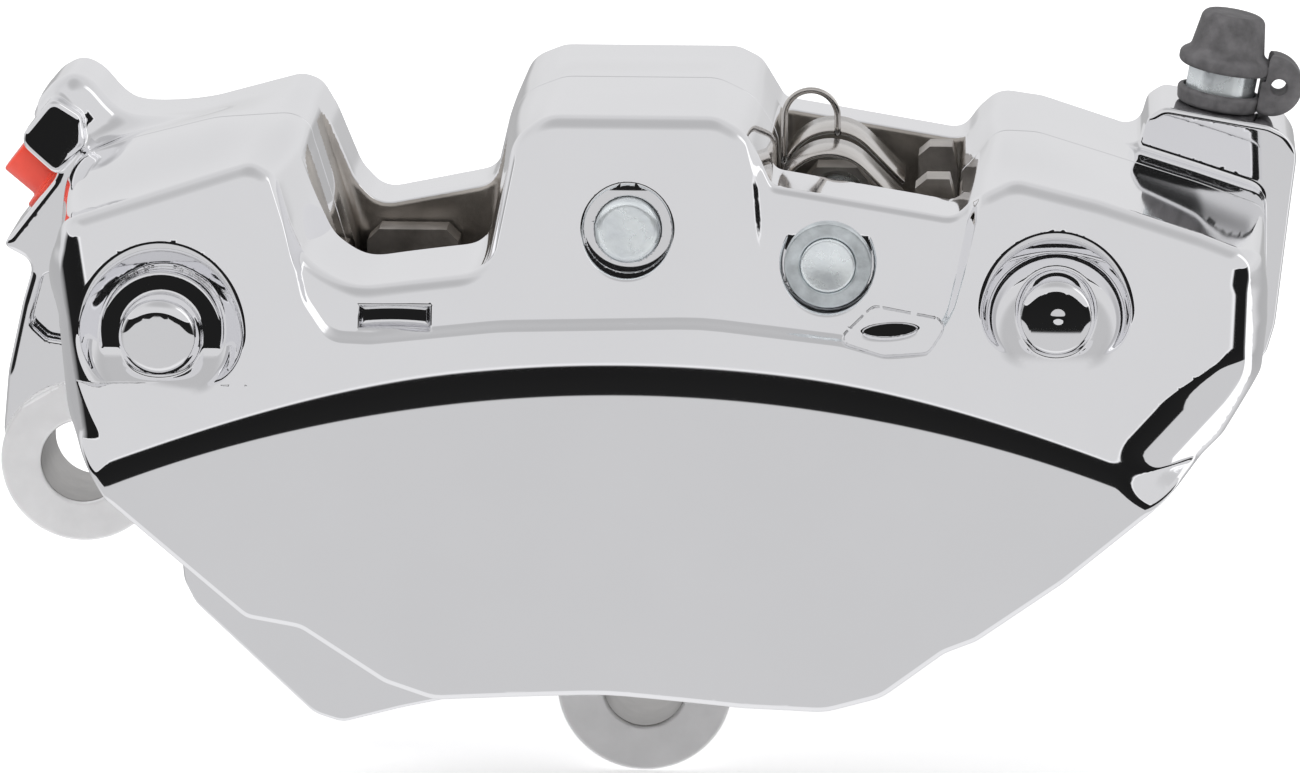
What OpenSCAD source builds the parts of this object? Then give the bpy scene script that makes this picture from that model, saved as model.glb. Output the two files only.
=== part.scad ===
// Two-piece fixed brake caliper with four opposed pistons, two pads and a bolt-on lug pair.
// X runs along the disc's tangent, Y along the disc's axle towards the wheel-hub side, Z up.
// The origin is the lower lug's bore, on the lug's mounting face. Modules are drawn in the
// disc's frame, whose Y = 0 is the disc's mid-plane, and placed() moves them to the origin.

/* [Disc and pads] */
// Radius of the brake disc that the caliper straddles
disc_r = 146; // [144:0.5:147]
// Thickness of that disc
disc_t = 5.8; // [5:0.1:6]
// Height of the disc's centre above the lower lug
disc_centre_z = -91; // [-93:0.5:-90]
// Free play between each lining and the disc
pad_play = 0.35; // [0.2:0.05:0.5]
// Thickness of a friction lining
lining_t = 4.5; // [4:0.1:4.8]
// Thickness of a pad's steel backing plate
plate_t = 4.8; // [4.5:0.1:5]
// Thickness of the shim behind a backing plate
shim_t = 0.5; // [0.4:0.1:0.6]

/* [Pistons] */
// Radius of a piston bore
bore_r = 16; // [15:0.5:16]
// Sliding clearance between a piston and its bore
piston_play = 0.05; // [0.03:0.01:0.08]
// Distance of each piston from the caliper's middle
piston_x = 20.5; // [20:0.5:22]
// Height of the pistons above the lower lug
piston_z = 29.5; // [29:0.5:30]
// Depth from the disc's mid-plane at which a bore ends
bore_end = 27; // [26:0.5:27.5]

/* [Housing] */
// Lean of the outboard face's upper part
face_tilt = 18.5; // [17:0.5:20]
// Height of the outboard face's top edge above the lower lug
face_top_z = 79.5; // [79:0.5:80]
// Depth of that edge in front of the disc's mid-plane
face_top_depth = 27; // [26.5:0.5:28]
// Radius of the arched ridge across the outboard face
ridge_r = 172; // [168:1:176]
// Distance of the ridge's crown below the face's top edge
ridge_drop = 32.8; // [32:0.2:34]
// Thickness of the inboard housing behind the mid-plane
inboard_t = 26; // [25:0.5:28]
// Depth at which the piston and bolt bosses end behind the mid-plane
boss_end = 31; // [30:0.5:33]
// Half width of the slot for the disc
slot_half = 6; // [5.5:0.5:6]
// Depth of the pad pocket from the mid-plane
pocket = 13.5; // [13.5:0.1:14]
// Half length of the pad pocket
pocket_x = 46; // [46:0.5:48]

/* [Mounting lugs] */
// Radius of a lug's bolt bore
lug_bore_r = 5.25; // [5:0.05:5.5]
// Depth of the lugs' front faces behind the mid-plane
lug_front = 6; // [6:0.5:8]
// Depth of the lugs' mounting faces behind the mid-plane
lug_back = 22; // [20:0.5:22]
// Place of the left lug's bore, across and up from the lower one
left_lug = [-71.2, 28.4];

/* [Bridge bolts and pad pin] */
// Radius of a bridge bolt's shank
bolt_r = 4; // [3.5:0.5:4]
// Place of the left bridge bolt
left_bolt = [-56.6, 53.8];
// Place of the centre bridge bolt
centre_bolt = [-0.2, 66.4];
// Place of the right bridge bolt
right_bolt = [51.7, 57.4];
// Radius of the pad pin
pin_r = 3; // [2.5:0.5:3]
// Place of the pad pin
pin_at = [24.1, 62.8];

/* [Bleeder and inlet] */
// Where the bleeder's axis leaves the housing
bleeder_at = [71.4, 17, 73.4];
// Lean of the bleeder's axis to the right
bleeder_tilt = 10; // [8:1:12]
// Centre of the fluid inlet's face
inlet_at = [-74.2, 14, 64.1];
// Lean of the inlet's axis to the left
inlet_tilt = 51.5; // [50:0.5:53]

/* [Hidden] */
$fn = 96;

chrome = [0.82, 0.83, 0.85];
zinc = [0.72, 0.75, 0.78];
steel = [0.62, 0.6, 0.56];
lining_grey = [0.25, 0.24, 0.23];
rubber = [0.27, 0.26, 0.26];
red = [0.87, 0.26, 0.18];

eps = 0.5;                                // how far a cutter runs past a face
disc_gap_r = disc_r + 2.5;                // radius of the arch cut for the disc
plate_low = 12.5;                         // lower edge of the backing plates
lining_y = disc_t / 2 + pad_play;         // faces of the pad, outwards from the mid-plane
plate_y = lining_y + lining_t;
shim_y = plate_y + plate_t;
piston_y = shim_y + shim_t + 0.1;
piston_end = bore_end - 0.2;
outboard_t = 45;                          // stock that the outboard face is cut from
outboard_pocket_floor = -20;              // the outboard pocket is open below
inboard_pocket_floor = plate_low - 0.6;   // the lower lug backs the inboard one
dust_groove = [15, 17.2];
pressure_groove = [19, 22.2];
dust_groove_r = bore_r + 1.6;
pressure_groove_r = bore_r + 2.2;
bolt_hole_r = bolt_r + 0.1;
bolt_head_r = 6.5;
bolt_head_seat = 23;
blind_bolt_tip = -25.5;
centre_bolt_tip = -29.8;
pin_seat = -29.5;                         // where the pad pin's washer sits
crossovers = [[-49, 65], [61, 62]];       // oil ways between the halves
crossover_r = 1.6;

module placed() translate([0, -lug_back, 0]) children();
// A flat XZ outline given thickness from y0 to y1
module slab(y0, y1) translate([0, y1, 0]) rotate([90, 0, 0]) linear_extrude(y1 - y0) children();
// A round bar along Y
module rod(at, r, y0, y1) translate([at[0], y0, at[1]]) rotate([-90, 0, 0]) cylinder(r = r, h = y1 - y0);
// A square-section ring along Y
module ring(at, r_in, r_out, y0, y1) difference() {
    rod(at, r_out, y0, y1);
    rod(at, r_in, y0 - eps, y1 + eps);
}
// Draws the inboard copy of something drawn for the outboard side
module inboard() mirror([0, 1, 0]) children();
module bleeder_frame() translate(bleeder_at) rotate([0, bleeder_tilt, 0]) children();
module inlet_frame() translate(inlet_at) rotate([0, -inlet_tilt, 0]) children();

// ---- the two housings ----

outboard_outline = [
    [-70.5, 62], [-68, 44], [-63, 35], [-46.5, 19], [-40, 17.5], [-30, 10], [-24, 7.8],
    [-3, 8.8], [16, 7.4], [24, 7.4], [30, 10], [38, 16], [42.5, 17], [53, 25.2], [72, 42.7],
    [76.5, 50.5], [77.2, 56], [76, 64], [47, 72.5], [43, 71], [40, 68.5], [16.5, 72], [14, 77.5],
    [10.5, 79.5], [-10.5, 79.5], [-14, 76.5], [-17, 60.5], [-36, 57.5], [-41, 66.5],
    [-43, 72], [-46, 74], [-69, 67]
];
inboard_outline = [
    [-68, 62], [-65, 40], [-60, 30], [-58.5, 13], [-57, 10], [-42, -4.3], [-38.5, -5.4],
    [-31, -3.4], [-20, -1], [-10, 1], [10, 1], [24, 3], [38, 11], [53, 22], [72, 40.5],
    [77, 49], [77, 64], [49.5, 74], [44, 74.8], [41.5, 72.5], [39.5, 69.7], [17, 73.5],
    [14, 78.5], [11, 79.8], [-11, 79.8], [-14, 78], [-16, 72], [-18.5, 64.7], [-34, 61.7],
    [-37, 64.5], [-40, 71.5], [-42, 75.3], [-44.5, 76], [-55, 73.8], [-66, 72]
];
arm_outline = [
    [-81.6, 28.4], [-80.5, 40], [-78.5, 49], [-77, 54], [-81, 56.1], [-73.6, 65.6],
    [-60, 66], [-55, 30], [-63, 22], [-71.2, 28.4]
];
lobe_outline = [
    [-73.6, 65.6], [-77.8, 69.2], [-78.8, 70], [-76.6, 74.2], [-74, 77.2], [-71.3, 78.7],
    [-68.9, 77.7], [-64.8, 73.2], [-60, 72], [-60, 64]
];
bleeder_block_outline = [
    [60, 40], [78.2, 44.5], [80.8, 69.3], [79.3, 71.6], [77.5, 72.4], [64.8, 74.6],
    [62.8, 73.4], [62, 70.5], [58, 68]
];
left_window = [[-36.5, 50], [-36.5, 58], [-43, 80], [-15, 80], [-18, 60], [-18, 50]];
right_window = [[17, 52], [17, 71], [15, 80], [43.5, 80], [39.5, 66], [39.5, 52]];
right_window_half = 17;                   // the right window is wider front to back
arm_pocket = [[-75.8, 52.8], [-77.6, 46.2], [-75.5, 44.2], [-70.5, 43.5], [-70, 51.5]];

// The outboard face: a leaning flat above the arched ridge and a shallow cone below it
module outboard_envelope() {
    profile = [
        [0, -90], [ridge_r + 90, -90], [ridge_r + 90, 0], [ridge_r, 0], [ridge_r - 25, -13.2],
        [ridge_r - 36, -20.2], [ridge_r - 40, -27], [0, -27]
    ];
    translate([0, -face_top_depth, face_top_z]) rotate([90 - face_tilt, 0, 0])
        translate([0, -ridge_r - ridge_drop, 0]) rotate_extrude() polygon(profile);
}

// What both halves lack, drawn for the outboard half: disc slot, pad pocket, windows and bores
module brake_space(pocket_floor) {
    rod([0, disc_centre_z], disc_gap_r, -slot_half, eps);
    intersection() {
        rod([0, disc_centre_z], disc_gap_r, -pocket, eps);
        slab(-pocket, eps) translate([-pocket_x, pocket_floor]) square([2 * pocket_x, 100]);
    }
    slab(-pocket, eps) polygon(left_window);
    slab(-right_window_half, eps) polygon(right_window);
    for (x = [-piston_x, piston_x]) {
        rod([x, piston_z], bore_r, -bore_end, -slot_half);
        rod([x, piston_z], dust_groove_r, -dust_groove[1], -dust_groove[0]);
        rod([x, piston_z], pressure_groove_r, -pressure_groove[1], -pressure_groove[0]);
    }
    // the oil way that joins the two bores
    translate([-piston_x, -bore_end + 2.5, piston_z]) rotate([0, 90, 0])
        cylinder(r = crossover_r, h = 2 * piston_x);
    // the oil ways from the mating face down to the bores
    for (at = crossovers) {
        rod(at, crossover_r, -20, eps);
        oil_way(at, -19, [sign(at[0]) * (piston_x + 9), piston_z + 9], -bore_end + 2);
    }
}
// A drilled passage between two points, each given as an XZ place and a depth
module oil_way(a, ya, b, yb) {
    run = [b[0] - a[0], yb - ya, b[1] - a[1]];
    translate([a[0], ya, a[1]])
        rotate([0, acos(run[2] / norm(run)), atan2(run[1], run[0])])
            cylinder(r = crossover_r, h = norm(run));
}

// A domed cover over a bridge bolt's blind end, in its scooped recess
module bolt_dome(at, r, reach) intersection() {
    rod(at, r, -reach - eps, -20);
    translate([at[0], -reach + r * 1.15, at[1]]) union() {
        sphere(r = r * 1.15);
        rotate([-90, 0, 0]) cylinder(r = r * 1.15, h = 20);
    }
}

module outboard_casting() union() {
    difference() {
        intersection() {
            slab(-outboard_t, 0) polygon(outboard_outline);
            outboard_envelope();
        }
        // the scooped recesses round the two blind ends
        rod(left_bolt, 9, -outboard_t, -31);
        slab(-outboard_t, -31)
            translate(left_bolt) polygon([[-10, -3.5], [-9, 4.5], [0, 8.9], [0, -8.9]]);
        rod(right_bolt, 8.4, -outboard_t, -30);
    }
    bolt_dome(left_bolt, 6.6, 36.5);
    bolt_dome(right_bolt, 5.8, 34.5);
}
module outboard_housing() placed() color(chrome) difference() {
    outboard_casting();
    brake_space(outboard_pocket_floor);
    for (at = [left_bolt, right_bolt]) rod(at, bolt_hole_r, blind_bolt_tip - 0.5, eps);
    rod(centre_bolt, bolt_hole_r, -outboard_t, eps);
    rod(centre_bolt, 5.5, -outboard_t, centre_bolt_tip + 1.8);
    rod(pin_at, pin_r + 0.05, -outboard_t, eps);
    rod(pin_at, 5.7, -outboard_t, pin_seat);
    for (at = crossovers) rod(at, 4, -0.8, eps);
}

module inboard_housing() placed() color(chrome) difference() {
    union() {
        slab(0, inboard_t) polygon(inboard_outline);
        slab(lug_front, lug_back) {
            polygon(arm_outline);
            translate(left_lug) circle(10.4);
            circle(11.1);
            polygon([[-11.1, 0], [-16, 8], [16, 8], [11.1, 0]]);
        }
        slab(4, inboard_t) polygon(lobe_outline);
        slab(10, inboard_t) polygon(bleeder_block_outline);
        for (x = [-piston_x, piston_x]) rod([x, piston_z], bore_r + 3.8, pocket, boss_end);
        for (at = [left_bolt, centre_bolt, right_bolt]) rod(at, bolt_head_r + 3, pocket, boss_end);
        rod(pin_at, pin_r + 3, pocket, 29);
    }
    inboard() brake_space(inboard_pocket_floor);
    for (at = [left_bolt, centre_bolt, right_bolt]) {
        rod(at, bolt_hole_r, -eps, boss_end);
        rod(at, bolt_head_r + 0.4, bolt_head_seat, boss_end + eps);
    }
    rod(pin_at, pin_r + 0.05, -eps, 27);
    for (at = [left_lug, [0, 0]]) rod(at, lug_bore_r, lug_front - eps, lug_back + eps);
    // room for the bracket's eye behind the lower lug
    rod([0, 0], 11.6, lug_back, inboard_t + eps);
    slab(lug_front - eps, 14) polygon(arm_pocket);
    // spot face and threaded hole of the inlet, and its oil way
    inlet_frame() cylinder(r = 6.5, h = 30);
    inlet_frame() translate([0, 0, -9]) cylinder(r = 4.1, h = 10);
    inlet_frame() translate([0, 0, -24]) cylinder(r = crossover_r, h = 18);
    // threaded hole of the bleeder, its seat and its oil way
    bleeder_frame() translate([0, 0, -14]) cylinder(r = 4, h = 20);
    bleeder_frame() translate([0, 0, -18]) cylinder(r = crossover_r, h = 6);
    for (at = crossovers) rod(at, 4, -eps, 0.8);
}

// ---- bolts, seals and pistons ----

module bridge_bolt(at, tip) placed() color(zinc) difference() {
    union() {
        rod(at, bolt_r, tip, bolt_head_seat + eps);
        rod(at, bolt_head_r, bolt_head_seat, boss_end - 0.5);
    }
    translate([at[0], boss_end - 5, at[1]]) rotate([-90, 0, 0]) cylinder(r = 3.7, h = 6, $fn = 6);
}
module left_bridge_bolt() bridge_bolt(left_bolt, blind_bolt_tip);
module right_bridge_bolt() bridge_bolt(right_bolt, blind_bolt_tip);
module centre_bridge_bolt() bridge_bolt(centre_bolt, centre_bolt_tip);

module crossover_seals() placed() color(rubber) for (at = crossovers)
    translate([at[0], 0, at[1]]) rotate([90, 0, 0]) rotate_extrude() translate([3.1, 0]) circle(0.8);

module piston(x) placed() color(zinc) difference() {
    rod([x, piston_z], bore_r - piston_play, -piston_end, -piston_y);
    rod([x, piston_z], 12, -piston_end + 3.2, -piston_y + eps);
    rod([x, piston_z], 13, -piston_y - 1.5, -piston_y + eps);
}
module outboard_left_piston() piston(-piston_x);
module outboard_right_piston() piston(piston_x);
module inboard_piston(x) placed() color(zinc) difference() {
    rod([x, piston_z], bore_r - piston_play, piston_y, piston_end);
    rod([x, piston_z], 12, piston_y - eps, piston_end - 3.2);
    rod([x, piston_z], 13, piston_y - eps, piston_y + 1.5);
}
module inboard_left_piston() inboard_piston(-piston_x);
module inboard_right_piston() inboard_piston(piston_x);

// A seal ring that leaves 0.1 of its groove free
module seal(x, groove_r, groove) placed() color(rubber)
    ring([x, piston_z], bore_r, groove_r - 0.1, groove[0] + 0.1, groove[1] - 0.1);
module outboard_pressure_seal(x) seal(x, pressure_groove_r, [-pressure_groove[1], -pressure_groove[0]]);
module inboard_pressure_seal(x) seal(x, pressure_groove_r, pressure_groove);
module outboard_dust_seal(x) seal(x, dust_groove_r, [-dust_groove[1], -dust_groove[0]]);
module inboard_dust_seal(x) seal(x, dust_groove_r, dust_groove);
module outboard_left_pressure_seal() outboard_pressure_seal(-piston_x);
module outboard_right_pressure_seal() outboard_pressure_seal(piston_x);
module inboard_left_pressure_seal() inboard_pressure_seal(-piston_x);
module inboard_right_pressure_seal() inboard_pressure_seal(piston_x);
module outboard_left_dust_seal() outboard_dust_seal(-piston_x);
module outboard_right_dust_seal() outboard_dust_seal(piston_x);
module inboard_left_dust_seal() inboard_dust_seal(-piston_x);
module inboard_right_dust_seal() inboard_dust_seal(piston_x);

// ---- pads ----

// The arched pad outline, with clipped lower corners
module pad_shape(half, low) intersection() {
    translate([0, disc_centre_z]) circle(disc_r - 2);
    polygon([[-half, 60], [-half, 27], [-half + 13, low], [half - 13, low], [half, 27], [half, 60]]);
}
// A steel backing plate, with the ear that hangs on the pad pin and a tab on each side of it
module backing_plate(y0, y1) difference() {
    union() {
        slab(y0, y1) pad_shape(pocket_x - 0.6, plate_low);
        slab(y0, y1) polygon([[19, 45], [19, 64], [21.5, 67], [26.5, 67], [29, 64], [30.5, 45]]);
        slab(y0, y1)
            polygon([[34.2, 44], [34.2, 68.6], [35.6, 69.8], [38.4, 69.8], [39.1, 67], [39.1, 44]]);
        slab(y0, y1)
            polygon([[-35, 44], [-35, 57], [-33.5, 58.5], [-25, 58.5], [-23.5, 57], [-23.5, 44]]);
    }
    rod(pin_at, pin_r + 0.8, y0 - eps, y1 + eps);
}
module lining_shape() difference() {
    pad_shape(pocket_x - 4, plate_low + 1.5);
    translate([-0.8, 0]) square([1.6, 60]);
}
module outboard_backing_plate() placed() color(steel) backing_plate(-shim_y, -plate_y);
module outboard_lining() placed() color(lining_grey) slab(-plate_y, -lining_y) lining_shape();
module shim(y0, y1) placed() color(steel) slab(y0, y1) pad_shape(pocket_x - 5, plate_low + 2.5);
module outboard_shim() shim(-shim_y - shim_t, -shim_y);
module inboard_backing_plate() placed() color(steel) backing_plate(plate_y, shim_y);
module inboard_lining() placed() color(lining_grey) slab(lining_y, plate_y) lining_shape();
module inboard_shim() shim(shim_y, shim_y + shim_t);

// ---- pad pin and spring ----

module pad_pin() placed() color(zinc) union() {
    rod(pin_at, pin_r, pin_seat - 1.9, 26.8);
    rod(pin_at, pin_r + 0.3, pin_seat - 1.9, pin_seat - 0.1);
}
module pad_pin_washer() placed() color(zinc) ring(pin_at, pin_r + 0.35, 5.3, pin_seat - 1.6, pin_seat);

leaf_centre = [23.6, 66.5];
leaf_r = 6.3;
leaf_t = 0.5;
leaf_half = 12;
leaf_end = [6.5, 45];                     // length and slope of the right end
// Points along one side of the bent strip: left leg, arch and slope
function leaf_side(r) = concat(
    [[-r, -10.5]],
    [for (a = [180 : -9 : leaf_end[1]]) r * [cos(a), sin(a)]],
    [r * [cos(leaf_end[1]), sin(leaf_end[1])] + leaf_end[0] * [sin(leaf_end[1]), -cos(leaf_end[1])]]
);
function backwards(list) = [for (i = [len(list) - 1 : -1 : 0]) list[i]];
module pad_spring_leaf() placed() color(steel) difference() {
    slab(-leaf_half, leaf_half) translate(leaf_centre)
        polygon(concat(leaf_side(leaf_r), backwards(leaf_side(leaf_r - leaf_t))));
    // the gap that leaves two strips, joined by the foot of the left leg
    translate([leaf_centre[0] - leaf_r - 1, -2.5, 58]) cube([20, 5, 20]);
}

wire_r = 0.4;
wire_bend_r = 3.3;
wire_centre = [21, 75];
// A round wire bent to an arch that stands on the leaf
module pad_spring_wire() placed() color(steel) translate([wire_centre[0], 0, wire_centre[1]]) {
    rotate([90, 0, 0]) rotate_extrude(angle = 180) translate([wire_bend_r, 0]) circle(wire_r);
    translate([wire_bend_r, 0, -2.3]) cylinder(r = wire_r, h = 2.3);
    translate([-wire_bend_r, 0, -6]) cylinder(r = wire_r, h = 6);
}

// ---- bleeder and inlet ----

module bleeder_screw() placed() color(zinc) bleeder_frame() difference() {
    union() {
        translate([0, 0, -10]) cylinder(r = 3.9, h = 10);
        translate([0, 0, -13.2]) cylinder(r1 = 1.2, r2 = 3.4, h = 3.2);
        translate([0, 0, -1]) cylinder(r = 3.6, h = 2.6);
        translate([0, 0, 1.4]) cylinder(r = 8 / sqrt(3), h = 4.2, $fn = 6);
        translate([0, 0, 5.5]) cylinder(r = 2.3, h = 3);
        translate([0, 0, 8.4]) cylinder(r1 = 2.6, r2 = 1.9, h = 2.4);
    }
    translate([0, 0, -8]) cylinder(r = 0.9, h = 20);
    translate([-5, 0, -9]) rotate([0, 90, 0]) cylinder(r = 0.9, h = 10);
}
module bleeder_collar() placed() color(rubber) bleeder_frame() difference() {
    translate([0, 0, 0.15]) cylinder(r = 5.3, h = 2.2);
    translate([0, 0, -eps]) cylinder(r = 3.65, h = 1.9 + eps);
    translate([0, 0, 1.3]) cylinder(r = 8 / sqrt(3) + 0.05, h = 2);
}
// The loop that ties the cap to the collar
module bleeder_strap() placed() color(rubber) bleeder_frame() difference() {
    translate([6.2, 2.5, 4.2]) rotate([90, 0, 0]) cylinder(r = 3.9, h = 5);
    translate([7, 3, 4.4]) rotate([90, 0, 0]) cylinder(r = 1.1, h = 6);
    translate([0, 0, -2]) cylinder(r = 5.3, h = 6.8);
    translate([0, 0, 4.7]) cylinder(r = 6.2, h = 6);
}
module bleeder_cap() placed() color(rubber) bleeder_frame() difference() {
    union() {
        translate([0, 0, 5]) cylinder(r = 5.9, h = 2);
        translate([0, 0, 7]) cylinder(r1 = 4.75, r2 = 3.9, h = 5.2);
    }
    translate([0, 0, 4]) cylinder(r = 4.95, h = 2);
    translate([0, 0, 4]) cylinder(r = 3, h = 7);
}
module inlet_plug() placed() color(red) inlet_frame() difference() {
    union() {
        translate([0, 0, -5]) cylinder(r = 3.7, h = 5.5);
        translate([0, 0, 0.05]) cylinder(r = 5.9, h = 0.8);
        cylinder(r = 4.3, h = 6);
    }
    translate([0, 0, -6]) cylinder(r = 2.6, h = 10);
}

outboard_housing();
inboard_housing();
left_bridge_bolt();
centre_bridge_bolt();
right_bridge_bolt();
crossover_seals();
outboard_left_piston();
outboard_right_piston();
inboard_left_piston();
inboard_right_piston();
outboard_left_pressure_seal();
outboard_right_pressure_seal();
inboard_left_pressure_seal();
inboard_right_pressure_seal();
outboard_left_dust_seal();
outboard_right_dust_seal();
inboard_left_dust_seal();
inboard_right_dust_seal();
outboard_backing_plate();
outboard_lining();
outboard_shim();
inboard_backing_plate();
inboard_lining();
inboard_shim();
pad_pin();
pad_pin_washer();
pad_spring_leaf();
pad_spring_wire();
bleeder_screw();
bleeder_collar();
bleeder_strap();
bleeder_cap();
inlet_plug();
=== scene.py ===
"""Chromed four-piston brake caliper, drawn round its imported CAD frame.

Lengths in this file are millimetres in the disc's frame, as in the CAD source: X along the disc's
tangent, Y along its axle with 0 at the disc's mid-plane, Z up from the lower lug. to_row() turns
them into the row frame's metres.
"""
import math
from concurrent.futures import ThreadPoolExecutor

import bmesh
import bpy
import numpy as np
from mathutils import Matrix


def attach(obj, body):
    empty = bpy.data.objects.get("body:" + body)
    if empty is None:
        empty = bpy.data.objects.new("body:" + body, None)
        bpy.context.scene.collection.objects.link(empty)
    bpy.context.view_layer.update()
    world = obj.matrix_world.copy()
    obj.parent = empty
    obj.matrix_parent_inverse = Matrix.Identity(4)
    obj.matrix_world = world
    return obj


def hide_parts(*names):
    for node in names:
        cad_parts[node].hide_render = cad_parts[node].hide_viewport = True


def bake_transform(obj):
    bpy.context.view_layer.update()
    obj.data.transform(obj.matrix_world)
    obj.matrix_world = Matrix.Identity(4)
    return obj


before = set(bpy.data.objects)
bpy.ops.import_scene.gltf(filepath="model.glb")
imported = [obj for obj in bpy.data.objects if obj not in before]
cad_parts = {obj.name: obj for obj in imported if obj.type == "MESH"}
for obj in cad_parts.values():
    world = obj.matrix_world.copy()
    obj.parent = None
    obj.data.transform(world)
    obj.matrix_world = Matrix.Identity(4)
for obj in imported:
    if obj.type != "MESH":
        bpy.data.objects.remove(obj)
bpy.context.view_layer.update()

LUG_BACK = 22.0      # the row's origin is on the lugs' mounting face, this far behind the mid-plane
MM = 0.001


def to_row(points):
    """Disc-frame millimetres as row-frame metres."""
    return (np.asarray(points, float) - [0.0, LUG_BACK, 0.0]) * MM


# ------------------------------------------------------------------ distance fields

def round_and(a, b, r):
    """Intersection of two solids whose shared edge is rounded by radius r."""
    u = np.maximum(a + r, 0.0)
    v = np.maximum(b + r, 0.0)
    return np.minimum(np.maximum(a, b), -r) + np.hypot(u, v)


def round_or(a, b, r):
    """Union of two solids whose shared corner is filled by radius r."""
    u = np.maximum(r - a, 0.0)
    v = np.maximum(r - b, 0.0)
    return np.maximum(np.minimum(a, b), r) - np.hypot(u, v)


def round_cut(a, b, r):
    """Solid a with b taken away, the rim rounded by radius r."""
    return round_and(a, -b, r)


def step(x, low, high):
    """0 below low, 1 above high, smooth between."""
    t = np.clip((x - low) / (high - low), 0.0, 1.0)
    return t * t * (3 - 2 * t)


def fillet_outline(corners, turn=6.0):
    """A closed outline from corners (x, z, radius), with each corner replaced by its arc."""
    points = []
    n = len(corners)
    for i in range(n):
        p = np.array(corners[i][:2], float)
        a = np.array(corners[i - 1][:2], float) - p
        b = np.array(corners[(i + 1) % n][:2], float) - p
        la, lb = np.linalg.norm(a), np.linalg.norm(b)
        a, b = a / la, b / lb
        half = math.acos(np.clip(a @ b, -1, 1)) / 2
        reach = min(corners[i][2] / math.tan(half), 0.48 * la, 0.48 * lb)
        r = reach * math.tan(half)
        bend = math.pi - 2 * half
        if r < 0.05 or bend < 0.02:
            points.append(p)
            continue
        middle = p + (a + b) / np.linalg.norm(a + b) * (r / math.sin(half))
        start, end = p + a * reach - middle, p + b * reach - middle
        count = max(2, int(math.degrees(bend) / turn) + 1)
        for k in range(count + 1):
            t = k / count
            s = (math.sin((1 - t) * bend) * start + math.sin(t * bend) * end) / math.sin(bend) \
                if bend < 3.0 else start
            points.append(middle + s)
    return np.array(points)


def outline_distance(points, x, z):
    """Signed distance to a closed outline, negative inside."""
    shape = np.broadcast(x, z).shape
    px, pz = (np.broadcast_to(q, shape).ravel() for q in (x, z))
    best = np.full(px.shape, 1e18)
    inside = np.zeros(px.shape, bool)
    for (ax, az), (bx, bz) in zip(points, np.roll(points, -1, axis=0)):
        ex, ez = bx - ax, bz - az
        dx, dz = px - ax, pz - az
        t = np.clip((dx * ex + dz * ez) / (ex * ex + ez * ez + 1e-12), 0, 1)
        best = np.minimum(best, (dx - t * ex) ** 2 + (dz - t * ez) ** 2)
        if ez != 0:
            crosses = ((az > pz) != (bz > pz)) & (px < ex * (pz - az) / ez + ax)
            inside ^= crosses
    return (np.sqrt(best) * np.where(inside, -1, 1)).reshape(shape)


class Outline:
    """A closed outline's distance, tabulated once on a fine grid and read back smoothly."""
    STEP = 0.35

    def __init__(self, corners, margin=14.0):
        points = fillet_outline(corners)
        low, high = points.min(0) - margin, points.max(0) + margin
        self.low = low
        nx, nz = (np.ceil((high - low) / self.STEP).astype(int) + 1)
        x = low[0] + self.STEP * np.arange(nx)
        z = low[1] + self.STEP * np.arange(nz)
        d = outline_distance(points, x[:, None], z[None, :])
        for _ in range(2):                       # a light blur takes the arcs' facets away
            e = np.pad(d, 1, mode="edge")
            d = 0.5 * d + 0.125 * (e[2:, 1:-1] + e[:-2, 1:-1] + e[1:-1, 2:] + e[1:-1, :-2])
        self.table = d

    def __call__(self, x, z):
        shape = np.broadcast(x, z).shape
        u = (np.broadcast_to(x, shape) - self.low[0]) / self.STEP
        v = (np.broadcast_to(z, shape) - self.low[1]) / self.STEP
        nx, nz = self.table.shape
        u = np.clip(u, 1.001, nx - 2.002)
        v = np.clip(v, 1.001, nz - 2.002)
        i, j = u.astype(int), v.astype(int)
        fu, fv = u - i, v - j
        wu, wv = self.weights(fu), self.weights(fv)
        out = np.zeros(shape)
        for a in range(4):
            for b in range(4):
                out += wu[a] * wv[b] * self.table[i + a - 1, j + b - 1]
        return out

    @staticmethod
    def weights(t):
        """Uniform cubic B-spline weights, which keep the slope smooth."""
        return ((1 - t) ** 3 / 6, (3 * t ** 3 - 6 * t ** 2 + 4) / 6,
                (-3 * t ** 3 + 3 * t ** 2 + 3 * t + 1) / 6, t ** 3 / 6)


def rod(x, z, at, r):
    """Distance to an endless bar along Y."""
    return np.hypot(x - at[0], z - at[1]) - r


def ball(x, y, z, at, r):
    """Distance to a ball."""
    return np.sqrt((x - at[0]) ** 2 + (y - at[1]) ** 2 + (z - at[2]) ** 2) - r


# ------------------------------------------------------------------ from a field to a mesh

def sample(field, p):
    """The field at scattered points, worked out by four threads."""
    parts = np.array_split(p, 8) if len(p) > 4000 else [p]
    with ThreadPoolExecutor(4) as pool:
        return np.concatenate(list(pool.map(lambda q: field(q[:, 0], q[:, 1], q[:, 2]), parts)))


def slope(field, p, h=0.03):
    """The field's gradient, from the corners of a small tetrahedron round each point."""
    g = np.zeros_like(p)
    for way in ((1, -1, -1), (-1, -1, 1), (-1, 1, -1), (1, 1, 1)):
        way = np.array(way, float)
        g += way * sample(field, p + h * way)[:, None]
    return g / (4 * h)


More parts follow.
